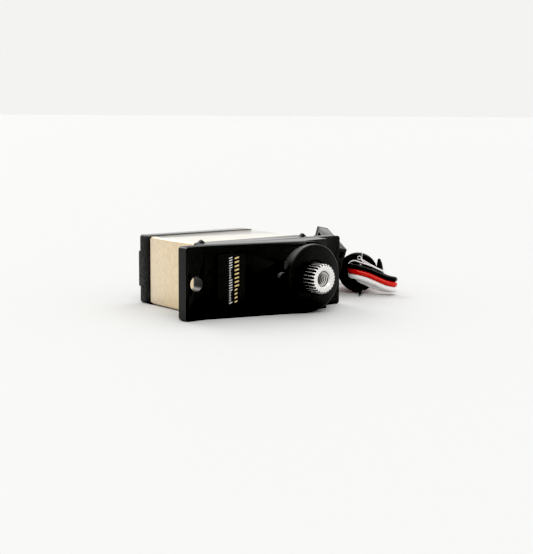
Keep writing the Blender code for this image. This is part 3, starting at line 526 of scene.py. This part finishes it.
def refined(node, width, finish, body="case", segments=2, inset=(0.0, 0.0), rim=None):
    """A copy of a CAD solid with its sharp edges rounded, standing for that solid.

    inset draws its sides in, along the case and across it. rim is the finish of its rounded edges and
    upper walls beyond the boss's foot, and carries a painted highlight on those that look up or down.
    """
    shape = bmesh.new()
    shape.from_mesh(NODES[node].data)
    low, high = (Vector(corner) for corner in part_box(node))
    for axis, gap in zip((0, 2), inset):
        middle, half = (low[axis] + high[axis]) / 2, (high[axis] - low[axis]) / 2
        for vertex in shape.verts:
            vertex.co[axis] = middle + (vertex.co[axis] - middle) * (1 - gap * MM / half)
    edges = [edge for edge in cleaned(shape) if edge.calc_face_angle() > math.radians(35)]
    bmesh.ops.bevel(shape, geom=edges, offset=width * MM, segments=segments, profile=0.5, affect="EDGES",
                    clamp_overlap=True, material=1 if rim else -1)
    if rim:
        for face in shape.faces:
            # Upper walls of the boss take the rim finish, for its painted highlight.
            upper_wall = abs(face.normal.y) < 0.5 and face.normal.z > 0.3
            beyond = face.calc_center_median().y < BOSS_FOOT
            face.material_index = int(beyond and (face.material_index == 1 or upper_wall))
    made = add(f"{node}_finished", shape, (finish, rim) if rim else (finish,), body, angle=40)
    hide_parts(node)


def make_case():
    refined("top_case", 0.12, CASE_BLACK, segments=1, rim=RIM_PAINTED_HIGHLIGHT)
    refined("mid_case", 0.06, CHAMPAGNE, inset=(0.04, 0.09))
    refined("base_cap", 0.08, CAP_BLACK)


def label_point(across, height, lift):
    """On the label, which lies on the ramp: along its short side, above the floor, and off its face."""
    slope = math.atan2(RAMP_RISE, RAMP_RUN)
    ramp_height = RAMP_RISE * (LABEL_U - RAMP_FOOT) / RAMP_RUN
    off = LABEL_THICKNESS + lift
    return place(LABEL_U + across * math.cos(slope) - off * math.sin(slope),
                 -(ramp_height + across * math.sin(slope) + off * math.cos(slope)), height)


def print_bar(shape, left, right, top, thick, finish):
    """One slanted bar, pressed a little into the label and standing a little proud of it."""
    outline = ((left, top - 0.16), (right, top + 0.04), (right, top + 0.04 - thick),
               (left, top - 0.16 - thick))
    rings = [[shape.verts.new(label_point(across, height, lift)) for across, height in outline]
             for lift in (-0.03, 0.012)]
    join_rings(shape, rings, finish=finish)


PRINT_TOP = 10.05


def make_print():
    """Two columns of slanted bars and dashes, which stand for printing without saying anything."""
    shape = bmesh.new()
    for i in range(12):
        print_bar(shape, 0.56, 1.3 if i < 8 else 1.02, PRINT_TOP - 0.65 * i, 0.26, 0)
    for i in range(19):
        print_bar(shape, -0.42, 0.12 if i % 9 < 5 else -0.12, PRINT_TOP - 0.41 * i, 0.14, 1)
    bmesh.ops.recalc_face_normals(shape, faces=shape.faces)
    add("label_print", shape, (GOLD_INK, PALE_INK))


THREAD_TOP, THREAD_PITCH, THREAD_TURNS, THREAD_STEPS = 7.42, 0.45, 9, 32
# The thread's section: distance from the axis, and height above its middle.
THREAD_SECTION = ((1.23, 0.17), (1.03, 0.03), (1.03, -0.03), (1.23, -0.17))


def make_shaft():
    """The splined shaft with its edges eased, and the screw thread in its end."""
    refined("output_shaft", 0.03, SPLINE_STEEL, "output", segments=1)
    shape = bmesh.new()
    rings = []
    for i in range(THREAD_STEPS * THREAD_TURNS + 1):
        angle, height = TAU * i / THREAD_STEPS, THREAD_TOP - THREAD_PITCH * i / THREAD_STEPS
        rings.append([shape.verts.new(place(OUTPUT_U + radius * math.cos(angle), -(height + rise),
                                            MIDDLE_W + radius * math.sin(angle)))
                      for radius, rise in THREAD_SECTION])
    join_rings(shape, rings)
    bmesh.ops.recalc_face_normals(shape, faces=shape.faces)
    add("output_screw_thread", shape, (THREAD_STEEL,), "output")


PLUG_NEAR = (30.89, 4.79, 5.5)
PLUG_RISE, PLUG_LEAN, PLUG_TURN = (math.radians(angle) for angle in (10.6, 12, -26.2))
PLUG_FACE, CONTACT_PITCH = 1.05, 2.54
# What is cut out of the housing, from the middle of its near end: middle and size of each block.
PLUG_CUTS = [((-PLUG_FACE, 11, height), (0.6, 2.2, 1.1)) for height in (-CONTACT_PITCH, 0, CONTACT_PITCH)]
PLUG_CUTS += [((side * PLUG_FACE, 13.1, 0), (0.2, 0.35, 9)) for side in (-1, 1)]


def make_plug():
    """The connector's housing, with eased edges, latch windows in one wide face and a groove in both."""
    turn = (Matrix.Rotation(PLUG_TURN, 4, "Z") @ Matrix.Rotation(PLUG_RISE, 4, "X")
            @ Matrix.Rotation(PLUG_LEAN, 4, "Y"))
    local = Matrix.Translation(place(*PLUG_NEAR)) @ turn
    shape = bmesh.new()
    for middle, size in PLUG_CUTS:
        block = bmesh.ops.create_cube(shape, size=1)["verts"]
        bmesh.ops.transform(shape, matrix=local @ Matrix.Translation([length * MM for length in middle])
                            @ Matrix.Diagonal([length * MM for length in size] + [1]), verts=block)
    mesh = bpy.data.meshes.new("plug_windows")
    shape.to_mesh(mesh)
    shape.free()
    cutter = bpy.data.objects.new("plug_windows", mesh)
    body = bpy.data.objects.new("plug_body", NODES["plug_housing"].data.copy())
    for made in (cutter, body):
        bpy.context.scene.collection.objects.link(made)
    cut = body.modifiers.new("cut", "BOOLEAN")
    cut.operation, cut.object, cut.solver = "DIFFERENCE", cutter, "EXACT"
    result = bpy.data.meshes.new_from_object(body.evaluated_get(bpy.context.evaluated_depsgraph_get()))
    shape = bmesh.new()
    shape.from_mesh(result)
    for made in (cutter, body):
        bpy.data.objects.remove(made)
    edges = [edge for edge in cleaned(shape) if edge.calc_face_angle() > math.radians(50)]
    bmesh.ops.bevel(shape, geom=edges, offset=0.07 * MM, segments=2, profile=0.5, affect="EDGES")
    for face in shape.faces:
        face.material_index = 0
    plug = add("plug_finished", shape, (PLUG_BLACK,))
    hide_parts("plug_housing")
    return plug


def finish_nodes():
    """Gives the CAD solids that stay visible their own finish."""
    finishes = {
        "label": LABEL_FILM, "gear_floor": NYLON, "idler_pin": GEAR_STEEL, "motor_pinion": GEAR_BRASS,
        "gear_1": GEAR_BRASS, "gear_2": GEAR_STEEL, "gear_3": GEAR_BRASS,
        "bearing_outer_race": BRIGHT_STEEL, "bearing_ball_ring": GEAR_BRASS,
        "bearing_inner_race": BRIGHT_STEEL, "output_seal": CASE_BLACK, "output_bush": GEAR_BRASS,
        "motor_can": CAN_STEEL, "motor_magnet": FERRITE, "motor_rotor": COPPER, "motor_end_cap": NYLON,
        "motor_terminal_1": CONTACT_GOLD, "motor_terminal_2": CONTACT_GOLD,
        "feedback_sensor_body": CHIP_BLACK, "feedback_wiper": NYLON, "circuit_board": BOARD_GREEN,
        "control_chip": CHIP_BLACK, "driver_chip": CHIP_BLACK, "capacitor": CAPACITOR,
        "strain_relief": SLEEVE_RUBBER, "plug_contact_1": CONTACT_TIN,
        "plug_contact_2": CONTACT_TIN, "plug_contact_3": CONTACT_TIN, "case_screw_1": SCREW_BLACK,
        "case_screw_2": SCREW_BLACK, "case_screw_3": SCREW_BLACK, "case_screw_4": SCREW_BLACK}
    for node, finish in finishes.items():
        NODES[node].data.materials.clear()
        NODES[node].data.materials.append(finish)


# ---------------------------------------------------------------- stage

FLOOR_HALF, FLOOR_DROP = 30, 0.00002
FLOOR_COLOUR, STUDIO_COLOUR, STUDIO_STRENGTH = (0.62, 0.62, 0.615, 1), (1, 1, 0.985, 1), 0.9
BLACK_POINT = 0.028
# Each wide, soft source: its name, the way to it, its width in degrees and its strength.
SOFTBOXES = (("softbox_right", (0.6, 0.2, 1), 44, 0.8), ("softbox_left", (-0.3, -0.55, 1), 30, 0.85),
             ("softbox_behind", (0.0, 0.8, 0.62), 30, 0.9))


def make_stage():
    """A plain pale floor, and an even white studio round it."""
    shape = bmesh.new()
    bmesh.ops.create_grid(shape, x_segments=1, y_segments=1, size=FLOOR_HALF)
    mesh = bpy.data.meshes.new("floor")
    shape.to_mesh(mesh)
    shape.free()
    floor = bpy.data.objects.new("floor", mesh)
    bpy.context.scene.collection.objects.link(floor)
    floor.location.z = -FLOOR_DROP
    made, _, shader = nodes_of("floor_white")
    shader.inputs["Base Color"].default_value = FLOOR_COLOUR
    shader.inputs["Roughness"].default_value = 0.7
    shader.inputs["Specular IOR Level"].default_value = 0.1
    mesh.materials.append(made)

    world = bpy.data.worlds.new("studio")
    bpy.context.scene.world = world
    world.use_nodes = True
    background = world.node_tree.nodes["Background"]
    background.inputs["Color"].default_value = STUDIO_COLOUR
    background.inputs["Strength"].default_value = STUDIO_STRENGTH


def make_sun(name, towards, degrees, energy):
    """A source far off in the direction given, as wide as a softbox looks from the object."""
    data = bpy.data.lights.new(name, "SUN")
    data.energy = energy
    data.angle = math.radians(degrees)
    light = bpy.data.objects.new(name, data)
    light.rotation_euler = Vector(towards).to_track_quat("Z", "Y").to_euler()
    bpy.context.scene.collection.objects.link(light)


def set_tones():
    """A plain transform whose black point takes the haze off the black plastic."""
    view = bpy.context.scene.view_settings
    view.view_transform = "Standard"
    view.use_curve_mapping = True
    view.curve_mapping.black_level = (BLACK_POINT,) * 3
    view.curve_mapping.update()


make_camera()
lead, lead_path, lead_length = make_lead()
tie = make_tie()
plug = make_plug()
list(lead_path[0])
[list(p) for p in lead_path]
make_case()
make_print()
make_shaft()
finish_nodes()
make_stage()
for softbox in SOFTBOXES:
    make_sun(*softbox)
set_tones()
